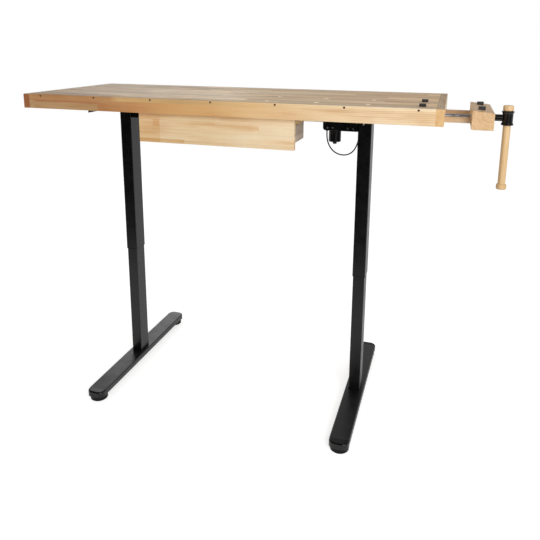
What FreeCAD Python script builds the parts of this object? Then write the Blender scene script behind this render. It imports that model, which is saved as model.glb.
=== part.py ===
"""Height-adjustable woodworking bench: a beech top with a vise at its right end, a hanging drawer
and two telescopic legs that one motor lifts through a hexagonal shaft.

Millimetres, +Z up, +X to the vise, -Y to the user. The origin is on the floor, under the middle of
the overall box. Every piece is a STEP file of its own in parts/.
"""
import FreeCAD, Part
import math
import os

Vec = FreeCAD.Vector

# ---- bench top
BENCH_L = 1560.0          # without the vise
BENCH_D = 600.0
TOP_Z = 1230.0            # working surface above the floor, as set
TOP_T = 22.0              # laminated panel
EDGE_H = 54.0             # aprons and end caps
APRON_T = 24.0
CAP_W = 26.0
EDGE_R = 1.5              # eased top edges
BATTEN_W = 22.0
WOOD_GAP = 0.3            # a moving wooden piece to its neighbour

# ---- dog holes and dogs
DOG_HOLE_D = 20.0
DOG_PITCH = 174.0
DOG_COLUMNS = 4
DOG_END = 70.0            # first column from the bench's right end
DOG_ROW = 77.0            # rows each side of the vise screw
DOG_D = 19.8
DOG_SHANK = 42.0
DOG_HEAD = 21.0
DOG_HEAD_H = 9.0
DOG_LIFT = 0.3            # head above the wood it rests over
DOG_TIP = 1.5             # chamfer on the shank's end
DOG_RIBS = 3              # grooves in each gripping face
RIB_W = 1.4
RIB_DEPTH = 0.8

# ---- screws along the front edge
EDGE_SCREWS = 7
EDGE_SCREW_PITCH = 234.0
EDGE_SCREW_DROP = 6.0
EDGE_SCREW_BORE = 8.0
EDGE_SCREW_SINK = 1.2
WOOD_SCREW_D = 4.4
WOOD_SCREW_L = 40.0
WOOD_SCREW_HEAD_D = 7.6
WOOD_SCREW_HEAD_H = 4.0
SNUG = 0.05               # a fastener or pin to its hole

# ---- vise
JAW_OPEN = 80.0           # gap between bench and jaw as set
JAW_T = 65.0
JAW_L = 290.0
JAW_H = 59.0
JAW_FALL = 7.0            # the jaw's top falls away from the bench
JAW_R = 1.5
JAW_DOG_IN = 30.0         # dogs from the jaw's inner face
SCREW_DROP = 35.0         # screw axis below the working surface
SCREW_D = 15.0
SCREW_PITCH = 5.0
THREAD_DEPTH = 1.3
SCREW_TAIL = 250.0        # screw behind the jaw's inner face
GUIDE_W = 17.0
GUIDE_SPREAD = 101.0       # each guide bar from the screw
GUIDE_TAIL = 248.0
GUIDE_TENON = 28.0
GUIDE_BLOCK_L = 65.0
GUIDE_BLOCK_W = 36.0
GUIDE_BLOCK_H = 28.0
GUIDE_BLOCK_END = 85.0    # block's near end from the bench's right end
NUT_L = 30.0
NUT_W = 44.0
NUT_H = 28.0
NUT_R = 6.0
RUNNING = 0.05            # shaft to its bore
PLATE_L = 56.0
PLATE_H = 36.0
PLATE_T = 4.0
COLLAR_D = 24.0           # ring on the screw, sunk in the jaw's inner face
COLLAR_T = 7.0
NECK_D = 22.0
NECK_L = 32.0
NECK_WALL = 3.0           # between the screw's end and the handle's bore
SOCKET_OUT = 48.0         # handle axis from the jaw's outer face
SOCKET_H = 45.0
SOCKET_RIM_D = 38.0
SOCKET_WAIST_D = 33.0
RIM_T = 3.0
RIM_EDGE = 0.5
HANDLE_D = 24.0
HANDLE_BORE_GAP = 0.1
KNOB_D = 32.5
KNOB_H = 18.0
KNOB_R = 4.0              # rounded ends of each knob
KNOB_SEAT = 14.0          # depth of the stick in each knob
HANDLE_CLEAR = 195.0      # bare stick below the socket

# ---- drawer
DRAWER_W = 592.0
DRAWER_FRONT_H = 107.0
DRAWER_FRONT_T = 18.0
DRAWER_SETBACK = 25.0     # behind the front apron's face
DRAWER_TOP_GAP = 2.0
BOX_W = 556.0
BOX_BAR_GAP = 11.0        # drawer box's back to the front crossbar
BOX_H = 62.0
BOX_LIFT = 13.0           # box above the front's lower edge
BOX_T = 12.0
BOTTOM_T = 4.0
BOTTOM_LIFT = 6.0
GROOVE = 6.0              # depth of the floor panel in the sides
HANGER_T = 10.0
HANGER_FOOT = 31.0        # hanger's lower end below the box's top
HANGER_RISE = 1.5         # hanger's top above its tongue
RAIL_W = 36.0
RAIL_H = 52.0
RAIL_GROOVE_D = 8.0
RAIL_GROOVE_H = 10.0
RAIL_LIP = 7.0            # wood under the groove
RAIL_SIDE_GAP = 2.0
RAIL_BACK = 5.0           # rail's front end behind the drawer's front
FRONT_R = 1.2             # eased edges of the drawer's front

# ---- legs
LEG_SPACING = 1000.0
TUBE_W = 50.0
TUBE_D = 72.0
TUBE_T = 1.5
TUBE_R = 4.0
TUBE_L = 617.0
HEAD_T = 4.0
HEAD_L = 110.0
HEAD_R = 6.0
INNER_W = 45.0
INNER_D = 67.0
INNER_T = 2.0
INNER_L = 600.0
BUSH_H = 40.0
BUSH_LIP = 3.5
FOOT_W = 74.0
FOOT_L = 752.0
FOOT_TOP = 43.0
FOOT_H = 24.0
FOOT_T = 2.0
FOOT_R = 4.0
FOOT_CAP_L = 29.0
FOOT_CAP_R = 25.0
FOOT_CAP_EDGE = 6.0
FOOT_PLUG = 15.0
PLUG_GAP = 0.2
PAD_D = 68.0
PAD_T = 18.8
PAD_RIM = 3.0             # rounded upper edge
PAD_SOLE = 1.5            # chamfered lower edge
PAD_IN = 37.0             # pad axis from the foot's tip
STUD_D = 8.0
STUD_L = 15.0
STUD_BUSH_D = 14.0
STUD_BUSH_H = 5.0

# ---- frame under the top
BRACKET_H = 46.0
BRACKET_W = 50.0
BRACKET_L = 510.0
BRACKET_T = 3.0
FLANGE_CUT = 60.0         # inner flange shorter than the outer one at each end
BRACKET_SCREW_AT = (70.0, 180.0)     # each side of the leg's middle
PANEL_SCREW_L = 15.0
PANEL_SCREW_HEAD_D = 10.0
PANEL_SCREW_HEAD_H = 3.0
LUG_T = 3.0
LUG_H = 34.0
LUG_L = 74.0
BOLT_D = 8.0
BOLT_AT = 22.0            # each side of the leg's middle
BOLT_UP = 18.0            # above the bracket's lower edge
BOLT_AF = 13.0
BOLT_HEAD_H = 5.0
CROSSBAR_W = 24.0
CROSSBAR_H = 30.0
CROSSBAR_T = 2.0
CROSSBAR_AT = 50.0
CROSSBAR_UP = 4.0         # above the bracket's lower edge

# ---- lifting drive
SHAFT_AF = 10.0
SHAFT_DROP = 20.0         # shaft axis below the tube's top
SPINDLE_D = 14.0
SPINDLE_LEAD = 10.0
SPINDLE_THREAD = 1.2
SPINDLE_L = 525.0         # threaded length below the bearing plate
BEARING_T = 8.0
BEARING_DROP = 56.0       # bearing plate's lower face below the tube's top
THRUST_COLLAR_D = 20.0
THRUST_COLLAR_H = 5.0
NUT_BLOCK_H = 30.0
NUT_BLOCK_R = 1.0
SHAFT_HOLE_GAP = 2.5      # hole in the leg round the gear's hub
BEVEL_OUT = 14.0          # pitch radius at the large end
BEVEL_IN = 8.0
BEVEL_TEETH = 12
BEVEL_ROOT = 1.1          # root cone inside the pitch cone
BEVEL_TIP = 0.6
BEVEL_TOOTH_W = 1.5
BEVEL_HUB_D = 12.0
BEVEL_HUB_L = 6.0
HOUSING_L = 130.0
HOUSING_W = 92.0
HOUSING_H = 58.0
HOUSING_T = 3.0
HOUSING_R = 11.0
HOUSING_EDGE = 2.0
HOUSING_FLANGE_T = 4.0
HOUSING_FLANGE_OUT = 16.0
HOUSING_RIB_H = 2.0
HOUSING_RIB_OUT = 1.5
HOUSING_RIB_AT = 22.0     # rib below the housing's top
HOUSING_SCREW_X = (18.0, 38.0, 94.0, 114.0)      # from the housing's outer end
HOUSING_SCREW_UP = 10.5
HOUSING_SCREW_D = 3.0
HOUSING_SCREW_HEAD_D = 6.4
HOUSING_SCREW_HEAD_H = 1.8
HOUSING_SCREW_L = 10.0
HOUSING_BOSS_D = 8.0
HOUSING_BOSS_L = 13.0
MOTOR_D = 46.0
MOTOR_H = 54.0
MOTOR_EDGE = 2.5
MOTOR_SEAT = 7.0
MOTOR_IN = 38.0           # motor axis from the housing's outer end
MOTOR_BOSS_D = 15.0
MOTOR_BOSS_H = 9.0
MOTOR_BOSS_EDGE = 1.5
MOTOR_SHAFT_D = 6.0
MOTOR_SHAFT_SEAT = 8.0
LEFT_BOX_L = 36.0
LEFT_BOX_W = 52.0
LEFT_BOX_R = 4.0
LEFT_BOX_DOWN = 20.0      # below the shaft
LEFT_BOX_UP = 18.0

# ---- control box, handset, cable
CONTROL_L = 134.0
CONTROL_W = 100.0
CONTROL_H = 40.0
CONTROL_R = 4.0
CONTROL_BEHIND = 66.0     # front face behind the legs' middle
CONTROL_SIDE_GAP = 4.0    # to the side bracket
INLET_W = 28.0
INLET_H = 20.0
INLET_DEEP = 16.0
INLET_IN = 40.0           # inlet from the box's left end
PIN_W = 2.0
PIN_H = 4.0
PIN_L = 12.0
PIN_PITCH = 7.0
PIN_STEP = 2.0            # middle pin above and outer pins below the inlet's middle
HANDSET_L = 80.0
HANDSET_W = 38.0
HANDSET_H = 22.0
HANDSET_R = 5.0
HANDSET_EDGE = 1.5
HANDSET_LEG_GAP = 4.0     # to the right leg's bracket
BUTTON_D = 14.0
BUTTON_PITCH = 32.0
BUTTON_PROUD = 1.6
BUTTON_DEEP = 8.0
BUTTON_GAP = 0.25
BUTTON_TRAVEL = 1.2
BUTTON_EDGE = 1.0
CABLE_D = 5.0
GLAND_D = 7.5
GLAND_TIP_D = 6.0
GLAND_L = 10.0
GLAND_PLUG = 9.0          # seated length inside the case
GLAND_A_IN = 7.5          # from the gear housing's outer end
GLAND_B_IN = 10.0         # from the control box's right side
GLAND_B_BACK = 16.0       # from the control box's front

# ---- derived places
REACH = JAW_OPEN + JAW_T + SOCKET_OUT + SOCKET_RIM_D / 2
LEFT = -(BENCH_L + REACH) / 2
RIGHT = LEFT + BENCH_L
MID_X = (LEFT + RIGHT) / 2
FRONT = -BENCH_D / 2
BACK = BENCH_D / 2
PANEL_Z = TOP_Z - TOP_T
EDGE_Z = TOP_Z - EDGE_H

VISE_Y = FRONT + JAW_L / 2
SCREW_Z = TOP_Z - SCREW_DROP
JAW_IN = RIGHT + JAW_OPEN
JAW_OUT = JAW_IN + JAW_T
JAW_Z = TOP_Z - JAW_H
HANDLE_X = JAW_OUT + SOCKET_OUT
DOG_X = RIGHT - DOG_END
JAW_DOG_X = JAW_IN + JAW_DOG_IN
DOG_ROWS = (VISE_Y - DOG_ROW, VISE_Y + DOG_ROW)
GUIDE_ROWS = (VISE_Y - GUIDE_SPREAD, VISE_Y + GUIDE_SPREAD)

LEFT_LEG_X = MID_X - LEG_SPACING / 2
RIGHT_LEG_X = MID_X + LEG_SPACING / 2
LEG_XS = (LEFT_LEG_X, RIGHT_LEG_X)
BRACKET_Z = PANEL_Z - BRACKET_H
TUBE_TOP = BRACKET_Z - HEAD_T
TUBE_BOTTOM = TUBE_TOP - TUBE_L
INNER_TOP = FOOT_TOP + INNER_L
SHAFT_Z = TUBE_TOP - SHAFT_DROP
SHAFT_CORNER = SHAFT_AF / math.sqrt(3)
CROSSBAR_Z = BRACKET_Z + CROSSBAR_UP
BEARING_Z = TUBE_TOP - BEARING_DROP
HOUSING_RIGHT = RIGHT_LEG_X - TUBE_W / 2
HOUSING_LEFT = HOUSING_RIGHT - HOUSING_L
HOUSING_TOP = CROSSBAR_Z
HOUSING_BOTTOM = HOUSING_TOP - HOUSING_H
MOTOR_X = HOUSING_LEFT + MOTOR_IN
MOTOR_TOP = HOUSING_BOTTOM + MOTOR_SEAT
MOTOR_BOTTOM = MOTOR_TOP - MOTOR_H

DRAWER_FRONT_Y = FRONT + DRAWER_SETBACK
DRAWER_BACK_Y = DRAWER_FRONT_Y + DRAWER_FRONT_T
DRAWER_TOP = EDGE_Z - DRAWER_TOP_GAP
DRAWER_Z = DRAWER_TOP - DRAWER_FRONT_H
BOX_Z = DRAWER_Z + BOX_LIFT
BOX_TOP = BOX_Z + BOX_H
BOX_END = -CROSSBAR_AT - CROSSBAR_W / 2 - BOX_BAR_GAP
RAIL_IN = BOX_W / 2 - BOX_T + RAIL_SIDE_GAP      # from the middle of the bench
RAIL_Z = PANEL_Z - RAIL_H
RAIL_START = DRAWER_BACK_Y + RAIL_BACK

CONTROL_RIGHT = RIGHT_LEG_X - BRACKET_W / 2 - CONTROL_SIDE_GAP
CONTROL_Z = PANEL_Z - CONTROL_H
GLAND_A = Vec(HOUSING_LEFT + GLAND_A_IN, -GLAND_D / 2 - PLUG_GAP, HOUSING_BOTTOM)
GLAND_B = Vec(CONTROL_RIGHT - GLAND_B_IN, CONTROL_BEHIND + GLAND_B_BACK, CONTROL_Z)
CABLE_START = GLAND_A - Vec(0, 0, GLAND_L)
CABLE_END = GLAND_B - Vec(0, 0, GLAND_L)

# The cable hangs in a loop from the gear housing's gland and comes up behind the right leg
CABLE_ROUTE = [
    CABLE_START,
    CABLE_START + Vec(0, 0, -24),
    CABLE_START + Vec(5.5, 7, -49.5),
    CABLE_START + Vec(15.5, 14, -69),
    CABLE_START + Vec(30.5, 21.5, -84.5),
    CABLE_START + Vec(49.5, 29.5, -93),
    CABLE_START + Vec(69.5, 39, -94.5),
    CABLE_START + Vec(87.5, 49.5, -87.5),
    CABLE_START + Vec(100.5, 59, -72),
    CABLE_START + Vec(108.5, 68, -49),
    CABLE_START + Vec(111.5, 76, -22),
    CABLE_END + Vec(10, -3.5, -58),
    CABLE_END + Vec(0, 0, -27),
    CABLE_END,
]

UP = Vec(0, 0, 1)
ALONG_X = Vec(1, 0, 0)
ALONG_Y = Vec(0, 1, 0)
PAST = 1.0                # how far a cutting shape runs past a face


# ---- shape helpers
def box(x0, x1, y0, y1, z0, z1):
    return Part.makeBox(x1 - x0, y1 - y0, z1 - z0, Vec(x0, y0, z0))


def rod(x, y, z, radius, length, axis=UP):
    return Part.makeCylinder(radius, length, Vec(x, y, z), axis)


def edges_along(shape, axis):
    found = []
    for edge in shape.Edges:
        ends = edge.Vertexes
        if len(ends) == 2 and isinstance(edge.Curve, Part.Line):
            run = ends[1].Point - ends[0].Point
            if run.Length > 0 and abs(abs(run.normalize().dot(axis)) - 1) < 1e-6:
                found.append(edge)
    return found


def edges_at(shape, axis, test):
    return [e for e in edges_along(shape, axis) if test(e.CenterOfMass)]


def rounded(shape, radius, axis):
    return shape.makeFillet(radius, edges_along(shape, axis))


def rect_tube(x, y, width, depth, wall, corner, z0, z1):
    outer = rounded(box(x - width / 2, x + width / 2, y - depth / 2, y + depth / 2, z0, z1), corner, UP)
    w, d = width / 2 - wall, depth / 2 - wall
    inner = box(x - w, x + w, y - d, y + d, z0 - PAST, z1 + PAST)
    return outer.cut(rounded(inner, corner - wall, UP) if corner > wall else inner)


def turned(outline, x, y, z):
    """A solid turned about a vertical axis from (radius, height) points."""
    wire = Part.makePolygon([Vec(x + r, y, z + h) for r, h in outline + outline[:1]])
    return Part.Face(wire).revolve(Vec(x, y, z), UP, 360)


def threaded_rod(length, diameter, pitch, depth, plain=0.0):
    """Rod up +Z from the origin; the last plain millimetres carry no thread."""
    radius, root = diameter / 2, diameter / 2 - depth
    outline = [(0, 0), (root, 0)]
    z = pitch / 4
    while z + pitch <= length - plain:
        for up, r in ((0, root), (depth / 2, radius), (pitch / 2, radius), (pitch / 2 + depth / 2, root)):
            outline.append((r, z + up))
        z += pitch
    outline += [(root, z), (radius, z + depth / 2), (radius, length), (0, length)]
    return turned(outline, 0, 0, 0)


def hexagon(across_flats, length):
    corner = across_flats / math.sqrt(3)
    points = [Vec(corner * math.cos(a), corner * math.sin(a), 0) for a in
              (math.radians(60 * i) for i in range(7))]
    return Part.Face(Part.makePolygon(points)).extrude(Vec(0, 0, length))


def along_x(shape, x, y, z):
    """Turns a shape made along +Z to +X and moves its origin to a point."""
    copy = shape.copy()
    copy.rotate(Vec(0, 0, 0), ALONG_Y, 90)
    copy.translate(Vec(x, y, z))
    return copy


def moved(shape, x, y, z):
    copy = shape.copy()
    copy.translate(Vec(x, y, z))
    return copy


def fused(*shapes):
    whole = shapes[0]
    for other in shapes[1:]:
        whole = whole.fuse(other)
    return whole.removeSplitter()


def without(shape, cutters):
    for cutter in cutters:
        shape = shape.cut(cutter)
    return shape


# ---- fasteners
def wood_screw(head_d, head_h, shank_d, length, grow=0.0):
    """Countersunk screw pointing up +Z, its head's face at the origin; grow gives its hole."""
    r, s = head_d / 2 + grow, shank_d / 2 + grow
    return turned([(0, 0), (r, 0), (s, head_h), (s, length + grow), (0, length + grow)], 0, 0, 0)


def edge_screw_points():
    middle = (EDGE_SCREWS - 1) / 2
    return [(MID_X + (i - middle) * EDGE_SCREW_PITCH, TOP_Z - EDGE_SCREW_DROP) for i in range(EDGE_SCREWS)]


def edge_screw(x, z, grow=0.0):
    screw = wood_screw(WOOD_SCREW_HEAD_D, WOOD_SCREW_HEAD_H, WOOD_SCREW_D, WOOD_SCREW_L, grow)
    screw.rotate(Vec(0, 0, 0), ALONG_X, -90)
    return moved(screw, x, FRONT + EDGE_SCREW_SINK, z)


def panel_screw_points():
    return [(x, side * y) for x in LEG_XS for side in (-1, 1) for y in BRACKET_SCREW_AT]


def panel_screw(x, y, grow=0.0):
    """Pan-headed screw up through the bracket's web into the panel."""
    web = PANEL_Z - BRACKET_T
    head = rod(x, y, web - PANEL_SCREW_HEAD_H - grow, PANEL_SCREW_HEAD_D / 2, PANEL_SCREW_HEAD_H + grow)
    return fused(head, rod(x, y, web, WOOD_SCREW_D / 2 + grow, PANEL_SCREW_L + grow))


def bolt(leg_x, y, grow=0.0):
    """Hexagon bolt and nut through a bracket's two flanges and the leg's lugs, along X."""
    half = BRACKET_W / 2
    z = BRACKET_Z + BOLT_UP
    if grow:
        return rod(leg_x - half - PAST, y, z, BOLT_D / 2 + grow, 2 * (half + PAST), ALONG_X)
    end = half + BOLT_HEAD_H
    head = along_x(hexagon(BOLT_AF, BOLT_HEAD_H), leg_x + half, y, z)
    nut = along_x(hexagon(BOLT_AF, BOLT_HEAD_H), leg_x - end, y, z)
    return fused(rod(leg_x - end, y, z, BOLT_D / 2, 2 * end, ALONG_X), head, nut)


def bolts():
    return [(x, side * BOLT_AT) for x in LEG_XS for side in (-1, 1)]


# ---- bench top
def dog_columns():
    return [DOG_X - i * DOG_PITCH for i in range(DOG_COLUMNS)]


def batten_slot():
    x0 = LEFT + CAP_W
    return box(x0, x0 + BATTEN_W, FRONT - PAST, BACK + PAST, EDGE_Z - PAST, PANEL_Z)


def top_panel():
    slab = box(LEFT + CAP_W, RIGHT - CAP_W, FRONT + APRON_T, BACK - APRON_T, PANEL_Z, TOP_Z)
    holes = [rod(x, y, PANEL_Z - PAST, DOG_HOLE_D / 2, TOP_T + 2 * PAST)
             for x in dog_columns() for y in DOG_ROWS]
    screws = [edge_screw(x, z, SNUG) for x, z in edge_screw_points()]
    screws += [panel_screw(x, y, SNUG) for x, y in panel_screw_points()]
    return without(slab, holes + screws)


def front_apron():
    rail = box(LEFT + CAP_W, RIGHT - CAP_W, FRONT, FRONT + APRON_T, EDGE_Z, TOP_Z)
    rail = rail.makeFillet(EDGE_R, edges_at(
        rail, ALONG_X, lambda p: p.y < FRONT + PAST and p.z > TOP_Z - PAST))
    bores = [rod(x, FRONT - PAST, z, EDGE_SCREW_BORE / 2, EDGE_SCREW_SINK + PAST, ALONG_Y)
             for x, z in edge_screw_points()]
    return without(rail, [batten_slot()] + bores + [edge_screw(x, z, SNUG) for x, z in edge_screw_points()])


def back_apron():
    rail = box(LEFT + CAP_W, RIGHT - CAP_W, BACK - APRON_T, BACK, EDGE_Z, TOP_Z)
    rail = rail.makeFillet(EDGE_R, edges_at(
        rail, ALONG_X, lambda p: p.y > BACK - PAST and p.z > TOP_Z - PAST))
    return rail.cut(batten_slot())


def end_cap(x0, outer_x):
    cap = box(x0, x0 + CAP_W, FRONT, BACK, EDGE_Z, TOP_Z)
    return cap.makeFillet(EDGE_R, edges_at(
        cap, ALONG_Y, lambda p: abs(p.x - outer_x) < PAST and p.z > TOP_Z - PAST))


def guide_hole(y, x0, length):
    half = GUIDE_W / 2 + WOOD_GAP
    return box(x0, x0 + length, y - half, y + half, SCREW_Z - half, SCREW_Z + half)


def right_end_cap():
    cap = end_cap(RIGHT - CAP_W, RIGHT)
    x0, length = RIGHT - CAP_W - PAST, CAP_W + 2 * PAST
    holes = [guide_hole(y, x0, length) for y in GUIDE_ROWS]
    return without(cap, holes + [rod(x0, VISE_Y, SCREW_Z, SCREW_D / 2 + WOOD_GAP, length, ALONG_X)])


def cross_batten():
    x0 = LEFT + CAP_W
    return box(x0, x0 + BATTEN_W, FRONT, BACK, EDGE_Z, PANEL_Z)


# ---- vise
def guide_blocks():
    x1 = RIGHT - GUIDE_BLOCK_END
    x0, half = x1 - GUIDE_BLOCK_L, GUIDE_BLOCK_W / 2
    return [box(x0, x1, y - half, y + half, PANEL_Z - GUIDE_BLOCK_H, PANEL_Z).cut(
        guide_hole(y, x0 - PAST, GUIDE_BLOCK_L + 2 * PAST)) for y in GUIDE_ROWS]


def vise_nut():
    x1 = RIGHT - CAP_W
    body = box(x1 - NUT_L, x1, VISE_Y - NUT_W / 2, VISE_Y + NUT_W / 2, PANEL_Z - NUT_H, PANEL_Z)
    low = edges_at(body, ALONG_X, lambda p: p.z < PANEL_Z - NUT_H + PAST)
    return body.makeFillet(NUT_R, low).cut(
        rod(x1 - NUT_L - PAST, VISE_Y, SCREW_Z, SCREW_D / 2 + RUNNING, NUT_L + 2 * PAST, ALONG_X))


def jaw_top(x):
    """Height of the jaw's sloping top at x."""
    return TOP_Z - JAW_FALL * (x - JAW_IN) / JAW_T


def vise_jaw():
    profile = [Vec(JAW_IN, FRONT, JAW_Z), Vec(JAW_OUT, FRONT, JAW_Z),
               Vec(JAW_OUT, FRONT, TOP_Z - JAW_FALL), Vec(JAW_IN, FRONT, TOP_Z)]
    block = Part.Face(Part.makePolygon(profile + profile[:1])).extrude(Vec(0, JAW_L, 0))
    block = block.makeFillet(JAW_R, block.Edges)
    cutters = [rod(JAW_IN - PAST, VISE_Y, SCREW_Z, SCREW_D / 2 + WOOD_GAP, JAW_T + 2 * PAST, ALONG_X)]
    half = GUIDE_W / 2 + SNUG
    for y in GUIDE_ROWS:
        cutters.append(box(JAW_IN - PAST, JAW_IN + GUIDE_TENON + SNUG, y - half, y + half,
                           SCREW_Z - half, SCREW_Z + half))
    for y in DOG_ROWS:
        cutters.append(rod(JAW_DOG_X, y, JAW_Z - PAST, DOG_HOLE_D / 2, JAW_H + 2 * PAST))
    cutters.append(rod(JAW_IN - PAST, VISE_Y, SCREW_Z, COLLAR_D / 2 + WOOD_GAP,
                       PAST + COLLAR_T + 2 * WOOD_GAP, ALONG_X))
    cutters.append(thrust_plate_blank(SNUG))
    return without(block, cutters)


def thrust_plate_blank(grow=0.0):
    l, h = PLATE_L / 2 + grow, PLATE_H / 2 + grow
    past = PAST if grow else 0.0
    return box(JAW_OUT - PLATE_T, JAW_OUT + past, VISE_Y - l, VISE_Y + l, SCREW_Z - h, SCREW_Z + h)


def thrust_plate():
    return thrust_plate_blank().cut(
        rod(JAW_OUT - PLATE_T - PAST, VISE_Y, SCREW_Z, SCREW_D / 2 + RUNNING, PLATE_T + 2 * PAST, ALONG_X))


def guide_bars():
    half = GUIDE_W / 2
    return [box(JAW_IN - GUIDE_TAIL, JAW_IN + GUIDE_TENON, y - half, y + half, SCREW_Z - half, SCREW_Z + half)
            for y in GUIDE_ROWS]


def vise_screw():
    length = SCREW_TAIL + JAW_T + WOOD_GAP + NECK_L - NECK_WALL
    screw = threaded_rod(length, SCREW_D, SCREW_PITCH, THREAD_DEPTH, JAW_T + NECK_L)
    collar = rod(JAW_IN + WOOD_GAP, VISE_Y, SCREW_Z, COLLAR_D / 2, COLLAR_T, ALONG_X)
    return fused(along_x(screw, JAW_IN - SCREW_TAIL, VISE_Y, SCREW_Z), collar)


def screw_hub():
    neck_start = JAW_OUT + WOOD_GAP
    neck = rod(neck_start, VISE_Y, SCREW_Z, NECK_D / 2, NECK_L, ALONG_X)
    h, rim, waist, edge = SOCKET_H / 2, SOCKET_RIM_D / 2, SOCKET_WAIST_D / 2, RIM_EDGE
    flare = rim - waist + RIM_T
    outline = [(0, -h), (rim - edge, -h), (rim, -h + edge), (rim, -h + RIM_T), (waist, -h + RIM_T + flare),
               (waist, h - RIM_T - flare), (rim, h - RIM_T), (rim, h - edge), (rim - edge, h), (0, h)]
    hub = fused(neck, turned(outline, HANDLE_X, VISE_Y, SCREW_Z))
    seat_l = NECK_L - NECK_WALL + PAST + SNUG
    seat = rod(neck_start - PAST, VISE_Y, SCREW_Z, SCREW_D / 2 + SNUG, seat_l, ALONG_X)
    bore = rod(HANDLE_X, VISE_Y, SCREW_Z - h - PAST, HANDLE_D / 2 + HANDLE_BORE_GAP, SOCKET_H + 2 * PAST)
    return without(hub, [seat, bore])


KNOB_UP = SCREW_Z + SOCKET_H / 2 + WOOD_GAP            # top knob's lower face
KNOB_DOWN = SCREW_Z - SOCKET_H / 2 - HANDLE_CLEAR      # bottom knob's upper face


def handle_bar():
    z0, z1 = KNOB_DOWN - KNOB_SEAT, KNOB_UP + KNOB_SEAT
    return rod(HANDLE_X, VISE_Y, z0, HANDLE_D / 2, z1 - z0)


def handle_knobs():
    def knob(z, seat_z):
        body = rod(HANDLE_X, VISE_Y, z, KNOB_D / 2, KNOB_H)
        body = body.makeFillet(KNOB_R, [e for e in body.Edges if isinstance(e.Curve, Part.Circle)])
        return body.cut(rod(HANDLE_X, VISE_Y, seat_z, HANDLE_D / 2 + SNUG, KNOB_SEAT + SNUG))
    return [knob(KNOB_UP, KNOB_UP - SNUG), knob(KNOB_DOWN - KNOB_H, KNOB_DOWN - KNOB_SEAT)]


def bench_dog(x, y, wood_z):
    z = wood_z + DOG_LIFT
    half = DOG_HEAD / 2
    head = rounded(box(x - half, x + half, y - half, y + half, z, z + DOG_HEAD_H), RIB_W, UP)
    shank = rod(x, y, z - DOG_SHANK, DOG_D / 2, DOG_SHANK)
    tip = [e for e in shank.Edges if isinstance(e.Curve, Part.Circle) and e.CenterOfMass.z < z - PAST]
    dog = fused(head, shank.makeChamfer(DOG_TIP, tip))
    grooves = []
    for i in range(DOG_RIBS):
        groove_z = z + (i + 1) * DOG_HEAD_H / (DOG_RIBS + 1) - RIB_W / 2
        for side in (-1, 1):
            face = x + side * half
            grooves.append(box(face - RIB_DEPTH, face + RIB_DEPTH, y - half - PAST, y + half + PAST,
                               groove_z, groove_z + RIB_W))
    return without(dog, grooves)


# ---- drawer
def drawer_front():
    half = DRAWER_W / 2
    panel = box(MID_X - half, MID_X + half, DRAWER_FRONT_Y, DRAWER_BACK_Y, DRAWER_Z, DRAWER_TOP)
    return panel.makeFillet(FRONT_R, [e for e in panel.Edges if e.CenterOfMass.y < DRAWER_FRONT_Y + PAST])


def drawer_floor(grow=0.0):
    half = BOX_W / 2 - BOX_T + GROOVE + grow
    z = BOX_Z + BOTTOM_LIFT
    return box(MID_X - half, MID_X + half, DRAWER_BACK_Y, BOX_END + grow, z - grow, z + BOTTOM_T + grow)


def drawer_sides():
    def side(x0):
        return box(x0, x0 + BOX_T, DRAWER_BACK_Y, BOX_END, BOX_Z, BOX_TOP).cut(drawer_floor(SNUG))
    return [side(MID_X - BOX_W / 2), side(MID_X + BOX_W / 2 - BOX_T)]


def drawer_back():
    half = BOX_W / 2 - BOX_T
    return box(MID_X - half, MID_X + half, BOX_END - BOX_T, BOX_END,
               BOX_Z + BOTTOM_LIFT + BOTTOM_T, BOX_TOP)


def drawer_hangers():
    """Strips inside the box's sides, each with a tongue that runs in its rail's groove."""
    tongue_z = RAIL_Z + RAIL_LIP + WOOD_GAP
    tongue_h = RAIL_GROOVE_H - 2 * WOOD_GAP
    top = tongue_z + tongue_h + HANGER_RISE
    half = BOX_W / 2 - BOX_T
    y1 = BOX_END - BOX_T

    def hanger(side):
        strip = box(half - HANGER_T, half, DRAWER_BACK_Y, y1, BOX_TOP - HANGER_FOOT, top)
        tip = RAIL_IN + RAIL_GROOVE_D - WOOD_GAP
        tongue = box(half, tip, RAIL_START - PAST, y1, tongue_z, tongue_z + tongue_h)
        whole = fused(strip, tongue)
        if side < 0:
            whole = whole.mirror(Vec(0, 0, 0), ALONG_X)
        return moved(whole, MID_X, 0, 0)
    return [hanger(-1), hanger(1)]


def drawer_rails():
    def rail(side):
        block = box(RAIL_IN, RAIL_IN + RAIL_W, RAIL_START, BOX_END, RAIL_Z, PANEL_Z)
        z = RAIL_Z + RAIL_LIP
        groove = box(RAIL_IN - PAST, RAIL_IN + RAIL_GROOVE_D, RAIL_START - PAST, BOX_END + PAST,
                     z, z + RAIL_GROOVE_H)
        whole = block.cut(groove)
        if side < 0:
            whole = whole.mirror(Vec(0, 0, 0), ALONG_X)
        return moved(whole, MID_X, 0, 0)
    return [rail(-1), rail(1)]


# ---- frame and legs
def bracket(x):
    half, inner = BRACKET_W / 2, BRACKET_W / 2 - BRACKET_T
    y = BRACKET_L / 2
    outer = box(x - half, x + half, -y, y, BRACKET_Z, PANEL_Z)
    hollow = box(x - inner, x + inner, -y - PAST, y + PAST, BRACKET_Z - PAST, PANEL_Z - BRACKET_T)
    cutters = [hollow] + [panel_screw(px, py, SNUG) for px, py in panel_screw_points()]
    cutters += [bolt(bx, by, SNUG) for bx, by in bolts()]
    inward = 1 if x < MID_X else -1
    x0, x1 = sorted((x + inward * inner, x + inward * (half + PAST)))
    for y0, y1 in ((-y - PAST, FLANGE_CUT - y), (y - FLANGE_CUT, y + PAST)):
        cutters.append(box(x0, x1, y0, y1, BRACKET_Z - PAST, PANEL_Z - BRACKET_T))
    return without(outer, cutters)


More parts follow.
